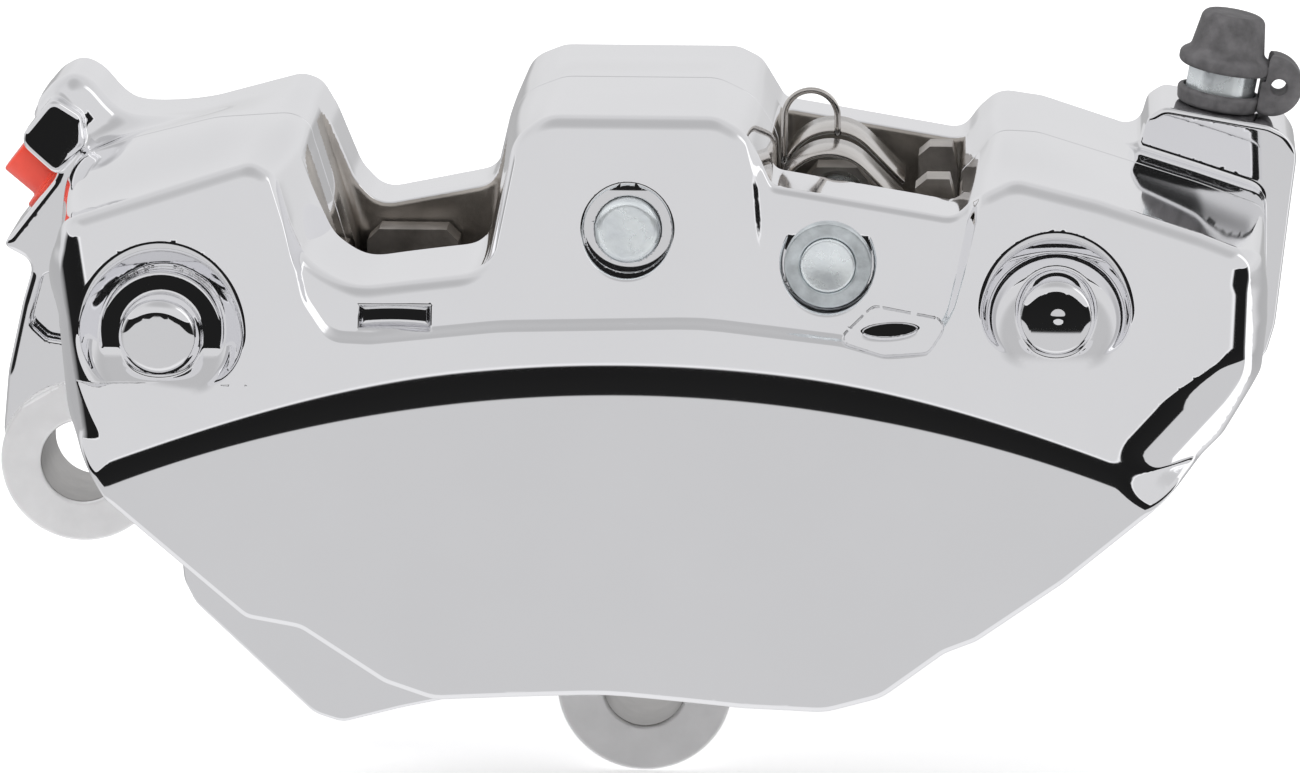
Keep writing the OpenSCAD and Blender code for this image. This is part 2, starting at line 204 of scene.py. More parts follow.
def net(field, low, high, cell):
    """Vertices and quads of the field's zero surface, by naive surface nets."""
    axes = [np.arange(low[k], high[k] + cell, cell) for k in range(3)]
    f = field(axes[0][:, None, None], axes[1][None, :, None], axes[2][None, None, :])
    inside = f < 0
    n = np.array(f.shape)
    total = np.zeros(tuple(n - 1) + (3,))
    count = np.zeros(tuple(n - 1))
    edges = []
    for k in range(3):
        lo = [slice(None)] * 3
        hi = [slice(None)] * 3
        lo[k], hi[k] = slice(0, -1), slice(1, None)
        lo, hi = tuple(lo), tuple(hi)
        at = np.argwhere(inside[lo] != inside[hi])
        a = f[lo][tuple(at.T)]
        b = f[hi][tuple(at.T)]
        spot = at.astype(float)
        spot[:, k] += a / (a - b)
        edges.append((k, at, a < 0))
        o1, o2 = [j for j in range(3) if j != k]
        for d1 in (0, 1):
            for d2 in (0, 1):
                c = at.copy()
                c[:, o1] -= d1
                c[:, o2] -= d2
                ok = np.all((c >= 0) & (c < n - 1), axis=1)
                idx = tuple(c[ok].T)
                for j in range(3):
                    np.add.at(total[..., j], idx, spot[ok, j])
                np.add.at(count, idx, 1)
    used = count > 0
    index = np.full(tuple(n - 1), -1)
    index[used] = np.arange(used.sum())
    verts = total[used] / count[used][:, None] * cell + np.array([q[0] for q in axes])
    quads = []
    for k, at, a_in in edges:
        o1, o2 = (k + 1) % 3, (k + 2) % 3
        ok = (at[:, o1] > 0) & (at[:, o2] > 0) & (at[:, o1] < n[o1] - 1) & (at[:, o2] < n[o2] - 1)
        at, a_in = at[ok], a_in[ok]
        corner = []
        for d1, d2 in ((0, 0), (1, 0), (1, 1), (0, 1)):
            c = at.copy()
            c[:, o1] -= d1
            c[:, o2] -= d2
            corner.append(index[tuple(c.T)])
        q = np.stack(corner, 1)
        q[~a_in] = q[~a_in][:, ::-1]
        quads.append(q)
    return verts, np.concatenate(quads)


def settle(field, p, rounds=3):
    """Moves points onto the field's zero surface."""
    for _ in range(rounds):
        g = slope(field, p)
        d = sample(field, p)
        move = g * (d / np.maximum((g * g).sum(1), 0.05))[:, None]
        p = p - np.clip(move, -0.4, 0.4)
    return p


def refine(field, verts, normals, tris, sharpest, shortest):
    """Splits the edges across which the surface turns by more than sharpest degrees."""
    pairs = np.sort(np.concatenate([tris[:, [0, 1]], tris[:, [1, 2]], tris[:, [2, 0]]]), axis=1)
    keys, where = np.unique(pairs[:, 0] * len(verts) + pairs[:, 1], return_inverse=True)
    where = where.reshape(3, -1).T
    a, b = keys // len(verts), keys % len(verts)
    bend = np.einsum("ij,ij->i", normals[a], normals[b]) < math.cos(math.radians(sharpest))
    long = np.linalg.norm(verts[a] - verts[b], axis=1) > shortest
    split = bend & long
    middle = np.full(len(keys), -1)
    middle[split] = len(verts) + np.arange(split.sum())
    added = (verts[a[split]] + verts[b[split]]) / 2
    way = unit(normals[a[split]] + normals[b[split]])
    for _ in range(3):
        added = added - 0.9 * way * sample(field, added)[:, None]
    verts = np.concatenate([verts, added])
    normals = np.concatenate([normals, unit(slope(field, added))])
    m = middle[where]
    has = m >= 0
    case = has[:, 0] + 2 * has[:, 1] + 4 * has[:, 2]
    out = [tris[case == 0]]
    for turn in range(3):                       # the same patterns, turned round the triangle
        order = [(turn + k) % 3 for k in range(3)]
        one = case == (1 << turn)
        p, q, r = tris[one][:, order].T
        e = m[one, turn]
        out += [np.stack([p, e, r], 1), np.stack([e, q, r], 1)]
        two = case == ((1 << turn) | (1 << order[1]))
        p, q, r = tris[two][:, order].T
        e, f = m[two, turn], m[two, order[1]]
        out += [np.stack([e, q, f], 1), np.stack([p, e, f], 1), np.stack([p, f, r], 1)]
    three = case == 7
    p, q, r = tris[three].T
    e, f, g = m[three].T
    out += [np.stack([p, e, g], 1), np.stack([e, q, f], 1), np.stack([g, f, r], 1), np.stack([e, f, g], 1)]
    return verts, normals, np.concatenate(out)


def unit(v):
    """Rows of v scaled to length 1."""
    return v / np.maximum(np.linalg.norm(v, axis=1), 1e-9)[:, None]


def relax(field, verts, quads, rounds):
    """Evens out the net by sliding each vertex towards its neighbours' middle, along the surface."""
    a = quads.ravel()
    b = np.roll(quads, -1, axis=1).ravel()
    share = np.bincount(a, minlength=len(verts)) + np.bincount(b, minlength=len(verts))
    for _ in range(rounds):
        total = np.stack([np.bincount(a, verts[b, k], len(verts)) + np.bincount(b, verts[a, k], len(verts))
                          for k in range(3)], 1)
        verts = settle(field, 0.5 * verts + 0.5 * total / share[:, None], 1)
    return verts


def new_object(name, mesh):
    obj = bpy.data.objects.new(name, mesh)
    bpy.context.scene.collection.objects.link(obj)
    return obj


def cast(name, field, low, high, cell, finest=0.1):
    """A mesh object of the field's surface, finer where it turns and shaded by the field's slope."""
    verts, quads = net(field, low, high, cell)
    verts = settle(field, relax(field, settle(field, verts, 1), quads, 2), 1)
    normals = unit(slope(field, verts))
    cross = np.linalg.norm(verts[quads[:, 0]] - verts[quads[:, 2]], axis=1)
    other = np.linalg.norm(verts[quads[:, 1]] - verts[quads[:, 3]], axis=1)
    first = np.where((cross < other)[:, None], quads[:, [0, 1, 2]], quads[:, [0, 1, 3]])
    second = np.where((cross < other)[:, None], quads[:, [0, 2, 3]], quads[:, [1, 2, 3]])
    tris = np.concatenate([first, second])
    size = cell
    while size > finest:
        verts, normals, tris = refine(field, verts, normals, tris, 7.0, size * 0.6)
        size /= 2
    mesh = bpy.data.meshes.new(name)
    mesh.from_pydata(to_row(verts).tolist(), [], tris.tolist())
    mesh.polygons.foreach_set("use_smooth", [True] * len(mesh.polygons))
    mesh.update()
    mesh.normals_split_custom_set_from_vertices(normals.tolist())
    return new_object(name, mesh)


# ------------------------------------------------------------------ shapes shared with the CAD

TILT = math.radians(18.5)            # lean of the outboard face
FACE_TOP = (-27.0, 79.5)             # depth and height of the face's top edge
RIDGE_R, RIDGE_DROP = 172.0, 32.8    # the arched ridge's radius, and its crown below that edge
DISC_ARCH = (0.0, -91.0, 148.5)      # centre and radius of the room for the disc
SLOT_HALF, POCKET, POCKET_X = 6.0, 13.5, 46.0
PISTON_X, PISTON_Z, BORE_R, BORE_END = 20.5, 29.5, 16.0, 27.0
LEFT_BOLT, CENTRE_BOLT, RIGHT_BOLT = (-56.6, 53.8), (-0.2, 66.4), (51.7, 57.4)
PIN = (24.1, 62.8)
BOLTS = (LEFT_BOLT, CENTRE_BOLT, RIGHT_BOLT)
PIN_HOLE = 3.05
LEFT_LUG, LOWER_LUG = (-71.2, 28.4), (0.0, 0.0)
LEFT_LUG_R, LOWER_LUG_R, LUG_BORE, LUG_MIDDLE = 10.4, 11.1, 5.25, 14.0
BOLT_R, BOLT_HOLE, HEAD_R, BOSS_END, INBOARD_T = 4.0, 4.1, 6.5, 31.0, 26.0
OIL_WAYS, OIL_SEAL_R, OIL_SEAL_DEPTH = ((-49, 65), (61, 62)), 4.0, 0.8   # O-ring seats on the parting
BLEEDER, BLEEDER_TILT = np.array([71.4, 17.0, 73.4]), math.radians(10)
INLET, INLET_TILT = np.array([-74.2, 14.0, 64.1]), math.radians(-51.5)

OUTBOARD = Outline([
    (-70.5, 62, 5), (-68, 44, 8), (-63, 35, 4), (-46.5, 19, 2.5), (-40, 17.5, 3), (-30, 10, 4),
    (-24, 7.6, 5), (-3, 8.3, 40), (14, 6.8, 8), (24, 6.6, 8), (31, 8.9, 6), (38.6, 15.2, 2.5),
    (42.5, 17, 2.5), (53, 25.2, 12), (72, 42.7, 2.5), (76.5, 50.5, 2), (77.2, 56, 3), (76.4, 64.2, 2.2),
    (69, 66.9, 20), (56.8, 70.6, 12), (46.5, 73, 4), (42.6, 71.2, 3), (39.2, 68.2, 2.5), (17.2, 71.6, 1.2),
    (14, 77.8, 5), (10.5, 79.6, 4), (-10.5, 79.6, 5), (-14.2, 76.8, 5), (-17.5, 60.8, 3.5), (-36.8, 57.2, 6),
    (-41, 66.5, 8), (-43.2, 72.6, 3), (-46, 74.1, 3), (-69, 67, 3.5)])
OUTLINE_IN = Outline([
    (-68, 62, 5), (-65, 40, 5), (-60, 30, 5), (-58.5, 13, 3), (-57, 10, 3), (-42, -4.3, 4), (-38.5, -5.4, 3),
    (-31, -3.4, 8), (-20, -1, 12), (-10, 1, 6), (10, 1, 6), (24, 3, 8), (38, 11, 6), (53, 22, 10),
    (72, 40.5, 3), (77.6, 48.6, 3), (77.6, 64, 3), (49.5, 73.2, 4), (44, 74, 4), (41.5, 71.7, 3),
    (39.5, 68.9, 2.5), (17, 72.7, 1.5), (14, 77.7, 3), (11, 79.2, 4), (-11, 79.2, 4), (-15, 77.6, 4),
    (-17.4, 72, 8), (-19.4, 63.4, 3), (-34, 60.4, 3.5), (-37, 63.6, 6), (-40, 71, 6), (-42, 74.4, 3),
    (-44.5, 75.2, 3), (-55, 72.3, 8), (-66, 69.8, 3)])
PARTING = Outline([
    (-71.5, 56, 4), (-68, 44, 8), (-63, 35, 4), (-46.5, 19, 2.5), (-40, 17.5, 3), (53, 25.2, 12),
    (72, 42.7, 2.5), (76.5, 50.5, 2), (77.6, 56, 3), (77.2, 64.2, 2), (69, 67.2, 20), (56.8, 71, 12),
    (49, 73.4, 6), (44, 73.6, 3), (39.8, 68.2, 2.5), (17.2, 72.5, 1.2), (14, 77.6, 5), (9.5, 79.8, 5),
    (-9.5, 79.8, 5), (-15.2, 77.6, 5), (-18.4, 62, 3.5), (-34.6, 60.2, 6), (-39.2, 69, 6), (-42, 75, 4),
    (-53, 74.2, 12), (-63, 71.6, 10), (-71.5, 68.6, 4)])
ARM = Outline([
    (-81.6, 28.4, 4), (-80.5, 40, 10), (-78.5, 49, 4), (-77, 54, 2), (-81, 56.1, 0.6), (-74.3, 64.7, 1),
    (-72.4, 69, 0.6), (-60, 69, 0), (-55, 30, 0), (-63, 22, 3), (-71.2, 28.4, 0)])
LOBE = Outline([
    (-73.6, 65.6, 0.5), (-77.8, 69.2, 1), (-78.6, 70, 1), (-77, 73.6, 4), (-74.8, 76.2, 4), (-72.3, 77.6, 4),
    (-69.7, 76.4, 6), (-66, 72, 14), (-54, 69.5, 2), (-54, 64, 0)])
STOP = Outline([
    (-77.8, 69.2, 0.8), (-77.9, 70.8, 0.8), (-74.2, 75.4, 1.2), (-70.6, 73.0, 1.2), (-70.2, 69.4, 1),
    (-73.6, 65.6, 0.8)], margin=6)
BLOCK = Outline([
    (60, 40, 0), (77.8, 42, 2), (79.1, 46.5, 6), (81.5, 69, 3.5), (79.8, 71.4, 2.2), (77.8, 72.4, 2),
    (64.8, 74.7, 1.6), (62.8, 73.4, 1.5), (62, 70.5, 2), (58, 68, 0)])
PANEL = Outline([
    (-43.2, 90, 0), (-43.2, 72.3, 3), (-41.4, 67.2, 10), (-39.2, 58.5, 4), (-36, 54.1, 3.5), (-31, 53.9, 6),
    (-15.3, 55.5, 40), (8.9, 56.1, 40), (25.8, 54.3, 10), (31.8, 52.9, 5), (36, 53.3, 3.5), (39, 57.4, 6),
    (40.1, 61.6, 8), (42.1, 70.8, 3), (42.1, 90, 0)], margin=10)
LEFT_WINDOW = Outline([
    (-36, 44, 0), (-36.4, 57, 2), (-40.8, 71.5, 2), (-41.4, 84, 0), (-17, 84, 0), (-18.4, 60, 2),
    (-18.4, 44, 0)], margin=8)
RIGHT_WINDOW = Outline([
    (17, 44, 0), (17, 71, 3), (16.4, 84, 0), (40.6, 84, 0), (39.5, 66, 3), (39.5, 44, 0)], margin=8)
FACET = Outline([
    (25.5, 54.2, 0.6), (29.7, 58.2, 1), (38.8, 56.6, 1), (36.4, 53, 1), (31, 52.6, 2)], margin=5)
ARM_POCKET = Outline([
    (-75.8, 52.8, 1), (-77.6, 46.2, 1), (-75.5, 44.2, 1.2), (-70.5, 43.5, 1), (-70, 51.5, 1)], margin=6)
FLANK = Outline([
    (-76, 90, 0), (-68.4, 66, 0), (-66, 52.4, 8), (-64, 41.5, 3), (-80, 24, 0), (-80, -10, 0),
    (85, -10, 0), (85, 26, 0), (61.2, 39.2, 2), (73.4, 52, 4), (73.7, 60.8, 4), (78, 90, 0)], margin=6)


def scoop(x, y, z, at, r, lean, foot):
    """An inclined spot face round a blind bolt end: it runs out of the face at its foot."""
    depth = FACE_TOP[0] - (FACE_TOP[1] - at[1]) * math.tan(TILT)
    u, w = y - depth, z - at[1]
    out, up = w * math.sin(lean) - u * math.cos(lean), u * math.sin(lean) + w * math.cos(lean)
    wall = np.hypot(x - at[0], up) - r
    return round_and(wall, -(out + foot * math.sin(lean - TILT)), 0.32 * r)


def face_height(y, z):
    """Height of a point above the leaning flat of the outboard face, and its place up that flat."""
    back, up = y - FACE_TOP[0], z - FACE_TOP[1]
    return (up * math.sin(TILT) - back * math.cos(TILT),
            back * math.sin(TILT) + up * math.cos(TILT))


def brake_room(x, y, z, pocket_floor):
    """Space for disc, pads, windows and pistons in one half; y is the distance from the mid-plane."""
    arch = np.hypot(x - DISC_ARCH[0], z - DISC_ARCH[1]) - DISC_ARCH[2]
    room = np.maximum(arch, y - SLOT_HALF)
    pocket = np.maximum(np.maximum(arch, y - POCKET), np.maximum(np.abs(x) - POCKET_X, pocket_floor - z))
    room = np.minimum(room, pocket)
    room = np.minimum(room, round_and(LEFT_WINDOW(x, z), y - POCKET, 1.5))
    room = np.minimum(room, round_and(RIGHT_WINDOW(x, z), y - 17.0, 1.5))
    for side in (-1, 1):
        axle = np.hypot(x - side * PISTON_X, z - PISTON_Z)
        room = np.minimum(room, np.maximum(axle - BORE_R, y - BORE_END))
        room = np.minimum(room, np.maximum(axle - BORE_R - 1.6, np.abs(y - 16.1) - 1.1))
        room = np.minimum(room, np.maximum(axle - BORE_R - 2.2, np.abs(y - 20.6) - 1.6))
    return room


def outboard(x, y, z):
    """The outboard half: a leaning face with its arched ridge, domes, holes and recesses."""
    h, v = face_height(y, z)
    r = np.hypot(x, v + RIDGE_R + RIDGE_DROP)
    in_panel = 1 - step(PANEL(x, z), -0.8, 0.6)
    beside_tower = step(x - 16.4 + 0.1 * (z - 60), -0.8, 0.8) * step(z, 55, 68)
    flat = h + (1.25 + 0.9 * beside_tower) * in_panel
    bowl = (h + 0.528 * (RIDGE_R - r)) * 0.884
    k = 1.9 - 0.6 * step(np.abs(x), 20, 60)
    gap = np.maximum(k - np.abs(flat - bowl), 0.0) / k
    face = np.maximum(flat, bowl) + gap * gap * k / 4
    sole = (h + 13.2 + 0.636 * (RIDGE_R - 25 - r)) * 0.843
    gap = np.maximum(1.4 - np.abs(face - sole), 0.0) / 1.4
    face = np.maximum(face, sole) + gap * gap * 0.35
    flank = (h + 1.2 * FLANK(x, z)) * 0.64             # the sloping border up both ends
    face = round_and(face, flank, np.where(x < 0, 2.0, 3.0 - 1.6 * step(z, 47, 54)))
    back = 1 - step(-y, 2, 30) * step(z, 58, 64)
    side = OUTBOARD(x, z) + back * step(z, 55, 62) * (PARTING(x, z) - OUTBOARD(x, z))
    wall = step(x, 14, 17) * (1 - step(x, 40, 43))    # the thin wall in front of the right window
    body = round_and(face, side, 0.9 + (1.1 - 0.9 * wall) * step(z, 45, 60))
    # blind bolt ends: a domed plug in an inclined spot face
    for at, wide, lean, foot, plug_r, crown_r, reach, crown_up, soft in (
            (LEFT_BOLT, 10.0, 44, 7.2, 5.0, 22.0, -37.4, 2.4, 1.7),
            (RIGHT_BOLT, 8.9, 42, 6.2, 4.6, 28.0, -36.0, -2.6, 1.2)):
        body = round_cut(body, scoop(x, y, z, at, wide, math.radians(lean), foot), 0.8)
        crown = ball(x, y, z, (at[0], reach + crown_r, at[1] + crown_up), crown_r)
        plug = round_and(crown, rod(x, z, at, plug_r), soft)
        body = round_or(body, np.maximum(plug, y + 24), 0.5)
    # a ring at the left plug's root, facing almost straight out
    ring = -33.0 + 0.16 * (z - LEFT_BOLT[1]) - y
    body = round_or(body, round_and(rod(x, z, LEFT_BOLT, 7.5), ring, 0.4), 0.4)
    dimple = ball(x, y, z, (RIGHT_BOLT[0] + 0.3, -36.8, RIGHT_BOLT[1] + 0.5), 1.2)
    body = round_cut(body, dimple, 0.25)
    # the flat that runs down from the left scoop to the ridge's end
    across = 0.919 * (z - 47.5) - 0.394 * (x + 49)
    flat_cut = np.maximum(-(h + 0.2 * across) * 0.98, z - 48.4)
    body = round_cut(body, np.maximum(flat_cut, x + 46), 0.25)
    # bolt and pin holes with their counterbores
    for at, hole, bore, floor in ((CENTRE_BOLT, BOLT_HOLE, 5.4, -28.0), (PIN, PIN_HOLE, 5.6, -29.5)):
        body = round_cut(body, np.maximum(rod(x, z, at, bore), y - floor), 0.5)
        body = np.maximum(body, -rod(x, z, at, hole))
    for at in (LEFT_BOLT, RIGHT_BOLT):
        body = np.maximum(body, -np.maximum(rod(x, z, at, BOLT_HOLE), -26.0 - y))
    # the notch below the left window and the almond below the pin
    notch = np.maximum(np.abs(x + 28.2) - 4.2, np.abs(z - 56.3) - 1.2)
    floor = -h - 3.2 + 0.15 * (z - 56.3) + 0.05 * (x + 28.2) ** 2     # leans back less than the face
    body = round_cut(body, round_and(notch, floor, 0.6), 0.5)
    turn = math.radians(4)
    u, w = x - 31.7, z - 55.2
    along, across = u * math.cos(turn) + w * math.sin(turn), w * math.cos(turn) - u * math.sin(turn)
    almond = (np.hypot(along / 3.3, across / 0.9) - 1.0) * 0.9
    body = round_cut(body, np.maximum(almond, -h - 3.0 + 0.17 * (z - 55.2)), 0.4)
    facet = (h + 1.75 + 0.12 * (z - 56.5)) * 0.99
    spot = FACET(x, z)
    body = round_cut(body, np.maximum(spot, -facet), 0.25)
    body = round_cut(body, brake_room(x, -y, z, -20.0), 0.7)
    for at in OIL_WAYS:
        body = np.maximum(body, -np.maximum(rod(x, z, at, OIL_SEAL_R), -OIL_SEAL_DEPTH - y))
    return round_and(body, y + 0.01, 0.3)


def inboard(x, y, z):
    """The inboard half: the block behind the disc, with lugs, inlet arm, bleeder block and bosses."""
    back = step(y, 0, 17) * step(z, 55, 62) + 1 - step(z, 55, 62)
    side = PARTING(x, z) + back * (OUTLINE_IN(x, z) - PARTING(x, z))
    body = round_and(side, y - INBOARD_T, 1.6)
    from_middle = np.abs(y - LUG_MIDDLE)
    arm = round_and(ARM(x, z), from_middle - 7.7, 1.0)
    neck = round_and(np.abs(x) - 13.5 - 0.3 * z, np.abs(z - 4) - 4, 1.0)
    arm = np.minimum(arm, np.maximum(neck, from_middle - 7.7))
    lugs = np.minimum(rod(x, z, LEFT_LUG, LEFT_LUG_R), rod(x, z, LOWER_LUG, LOWER_LUG_R))
    arm = np.minimum(arm, round_and(lugs, from_middle - 8, 0.4))
    body = round_or(body, arm, 2.5)
    body = round_or(body, round_and(LOBE(x, z), np.abs(y - 17) - 9, 4.0), 3.0)
    stop = 4.2 + 0.14 * (z - 70) + 0.035 * (x + 75.5) ** 2 - y
    body = round_or(body, round_and(STOP(x, z), np.maximum(stop, y - 10), 0.7), 0.6)
    block = 10 + 0.16 * np.clip(72 - z, -4, 12) - y     # its front leans out towards the top
    body = round_or(body, round_and(BLOCK(x, z), np.maximum(block, y - 26), 0.8), 0.9)
    for hand in (-1, 1):
        boss = round_and(rod(x, z, (hand * PISTON_X, PISTON_Z), BORE_R + 3.8), y - BOSS_END, 2.0)
        body = round_or(body, np.maximum(boss, POCKET - y), 2.5)
    for at in BOLTS:
        boss = round_and(rod(x, z, at, HEAD_R + 3.0), y - BOSS_END, 1.2)
        body = round_or(body, np.maximum(boss, POCKET - y), 1.8)
    boss = round_and(rod(x, z, PIN, 6.0), y - 29.0, 1.0)
    body = round_or(body, np.maximum(boss, POCKET - y), 1.5)
    body = round_cut(body, brake_room(x, y, z, 11.9), 0.7)
    for at in BOLTS:
        body = np.maximum(body, -rod(x, z, at, BOLT_HOLE))
        body = round_cut(body, np.maximum(rod(x, z, at, HEAD_R + 0.4), 23.0 - y), 0.5)
    body = np.maximum(body, -np.maximum(rod(x, z, PIN, PIN_HOLE), y - 27.0))
    for at in (LEFT_LUG, LOWER_LUG):
        body = round_cut(body, np.maximum(rod(x, z, at, LUG_BORE), from_middle - 9), 0.5)
    body = round_cut(body, np.maximum(rod(x, z, LOWER_LUG, LOWER_LUG_R + 0.5), LUG_BACK - y), 0.5)
    body = round_cut(body, np.maximum(ARM_POCKET(x, z), y - 8.5), 0.5)
    # the inlet's spot face and hole, and the bleeder's hole
    along, off = axis_of(x, y, z, INLET, INLET_TILT)
    body = round_cut(body, np.maximum(off - 6.5, -along), 0.3)
    body = np.maximum(body, -np.maximum(off - 4.1, -9 - along))
    along, off = axis_of(x, y, z, BLEEDER, BLEEDER_TILT)
    body = np.maximum(body, -np.maximum(off - 4.0, -14 - along))
    for at in OIL_WAYS:
        body = np.maximum(body, -np.maximum(rod(x, z, at, OIL_SEAL_R), y - OIL_SEAL_DEPTH))
    return round_and(body, -y + 0.01, 0.3)


# ------------------------------------------------------------------ small parts

def axis_of(x, y, z, origin, tilt):
    """How far along a leaning axis a point lies, and how far off it."""
    u, w = x - origin[0], z - origin[2]
    along = u * math.sin(tilt) + w * math.cos(tilt)
    return along, np.hypot(u * math.cos(tilt) - w * math.sin(tilt), y - origin[1])


def hexagon(x, z, across):
    """Distance to a hexagon of that width across its flats."""
    best = np.full(np.broadcast(x, z).shape, -1e9)
    for k in range(3):
        a = math.radians(60 * k + 30)
        best = np.maximum(best, np.abs(x * math.cos(a) + z * math.sin(a)) - across / 2)
    return best


def bolt(at, tip):
    """A socket-head bolt along Y."""
    def field(x, y, z):
        off = np.hypot(x - at[0], z - at[1])
        shank = round_and(off - BOLT_R, tip - y, 0.9)
        shank = np.maximum(shank, y - 23.5)
        head = round_and(off - HEAD_R, np.abs(y - 26.75) - 3.75, 0.6)
        body = np.minimum(shank, head)
        socket = np.maximum(hexagon(x - at[0], z - at[1], 6.4), 26.0 - y)
        socket = np.minimum(socket, off - 3.9 + (30.6 - y) * 1.2)
        return round_cut(body, socket, 0.15)
    return field


def bolt_box(at, tip):
    """Corners of the space that such a bolt is meshed in."""
    return ((at[0] - 7.2, tip - 0.8, at[1] - 7.2), (at[0] + 7.2, 31.2, at[1] + 7.2))


def pin(x, y, z):
    off = np.hypot(x - PIN[0], z - PIN[1])
    body = round_and(off - 3.0, np.abs(y + 2.3) - 29.1, 0.5)
    head = round_and(off - 3.3, np.abs(y + 30.5) - 0.9, 0.35)
    cup = ball(x, y, z, (PIN[0], -43.1, PIN[1]), 12.0)
    return round_cut(np.minimum(body, head), cup, 0.2)


def washer(x, y, z):
    off = np.hypot(x - PIN[0], z - PIN[1])
    return round_and(np.abs(off - 4.325) - 0.975, np.abs(y + 30.3) - 0.8, 0.3)


def bleeder_screw(x, y, z):
    u, w = x - BLEEDER[0], z - BLEEDER[2]
    along, off = axis_of(x, y, z, BLEEDER, BLEEDER_TILT)
    across = u * math.cos(BLEEDER_TILT) - w * math.sin(BLEEDER_TILT)
    thread = off - 3.75 - 0.15 * np.sin(2 * math.pi * (along - np.arctan2(y - BLEEDER[1], across) / 6.2832))
    body = np.maximum(thread, np.abs(along + 5) - 5.2)
    body = np.minimum(body, np.maximum(off - 3.4 + (-10 - along) * 0.7, np.abs(along + 11.5) - 1.6))
    body = np.minimum(body, np.maximum(off - 3.5, np.abs(along - 0.8) - 1.2))
    hexed = round_and(hexagon(across, y - BLEEDER[1], 8.0), np.abs(along - 3.5) - 2.1, 0.15)
    hexed = round_and(hexed, off - 4.35 + 0.55 * np.maximum(np.abs(along - 3.5) - 1.7, 0) * 2, 0.2)
    body = np.minimum(body, hexed)
    body = np.minimum(body, np.maximum(off - 2.3, np.abs(along - 7) - 2.2))
    body = np.minimum(body, round_and(off - 2.6 + (along - 8.4) * 0.3, np.abs(along - 9.6) - 1.2, 0.3))
    return np.maximum(body, -(off - 0.9))


def bleeder_collar(x, y, z):
    along, off = axis_of(x, y, z, BLEEDER, BLEEDER_TILT)
    body = round_and(off - 5.2 - 0.15 * (along - 1), np.abs(along - 1.25) - 1.1, 0.6)
    return np.maximum(body, -np.minimum(off - 3.65, np.maximum(off - 4.67, 1.3 - along)))


def bleeder_cap(x, y, z):
    along, off = axis_of(x, y, z, BLEEDER, BLEEDER_TILT)
    cone = round_and(off - 4.75 + (along - 7) * 0.163, np.abs(along - 9.1) - 3.1, 0.9)
    flange = round_and(off - 5.85, np.abs(along - 6.0) - 0.95, 0.75)
    body = round_or(cone, flange, 0.9)
    hollow = np.minimum(np.maximum(off - 4.95, along - 5.9), np.maximum(off - 3.0, along - 11))
    return round_cut(body, hollow, 0.25)


def bleeder_strap(x, y, z):
    u, w = x - BLEEDER[0], z - BLEEDER[2]
    along, off = axis_of(x, y, z, BLEEDER, BLEEDER_TILT)
    across = u * math.cos(BLEEDER_TILT) - w * math.sin(BLEEDER_TILT)
    loop = np.hypot(across - 6.2, along - 4.2)
    body = round_and(loop - 3.85, np.abs(y - BLEEDER[1]) - 2.4, 0.7)
    body = round_cut(body, np.hypot(across - 7.1, along - 4.3) - 1.0, 0.3)
    body = np.maximum(body, -np.maximum(off - 5.35, along - 4.8))
    return np.maximum(body, -np.maximum(off - 5.8, 4.7 - along))


def inlet_plug(x, y, z):
    along, off = axis_of(x, y, z, INLET, INLET_TILT)
    body = round_and(off - 3.7, np.abs(along + 2) - 3, 0.5)
    flange = round_and(off - 5.9, np.abs(along - 0.45) - 0.4, 0.3)
    stem = round_and(off - 4.3 + 0.03 * along, np.abs(along - 3) - 3, 0.35)
    body = round_or(np.minimum(body, flange), stem, 0.5)
    return np.maximum(body, -np.maximum(off - 2.6, np.abs(along + 1) - 5))


def tube(name, path, r, sides=14):
    """A round wire along a smooth path of disc-frame points."""
    path = np.array(path, float)
    ahead = np.gradient(path, axis=0)
    ahead /= np.linalg.norm(ahead, axis=1)[:, None]
    verts, faces = [], []
    up = np.array([0.0, 1.0, 0.0])
    for p, t in zip(path, ahead):
        a = np.cross(t, up)
        a /= np.linalg.norm(a)
        b = np.cross(t, a)
        up = -b if (b @ up) < 0 else b
        for k in range(sides):
            angle = 2 * math.pi * k / sides
            verts.append(p + r * (math.cos(angle) * a + math.sin(angle) * up))
    for i in range(len(path) - 1):
        for k in range(sides):
            j = (k + 1) % sides
            faces.append((i * sides + k, i * sides + j, (i + 1) * sides + j, (i + 1) * sides + k))
    faces.append(tuple(range(sides)))
    faces.append(tuple(range((len(path) - 1) * sides, len(path) * sides))[::-1])
    return solid(name, verts, faces)


def solid(name, verts, faces):
    """A closed mesh object from disc-frame points, its faces turned outwards."""
    mesh = bpy.data.meshes.new(name)
    mesh.from_pydata(to_row(verts).tolist(), [], faces)
    work = bmesh.new()
    work.from_mesh(mesh)
    bmesh.ops.recalc_face_normals(work, faces=work.faces)
    work.to_mesh(mesh)
    work.free()
    mesh.polygons.foreach_set("use_smooth", [True] * len(mesh.polygons))
    return new_object(name, mesh)


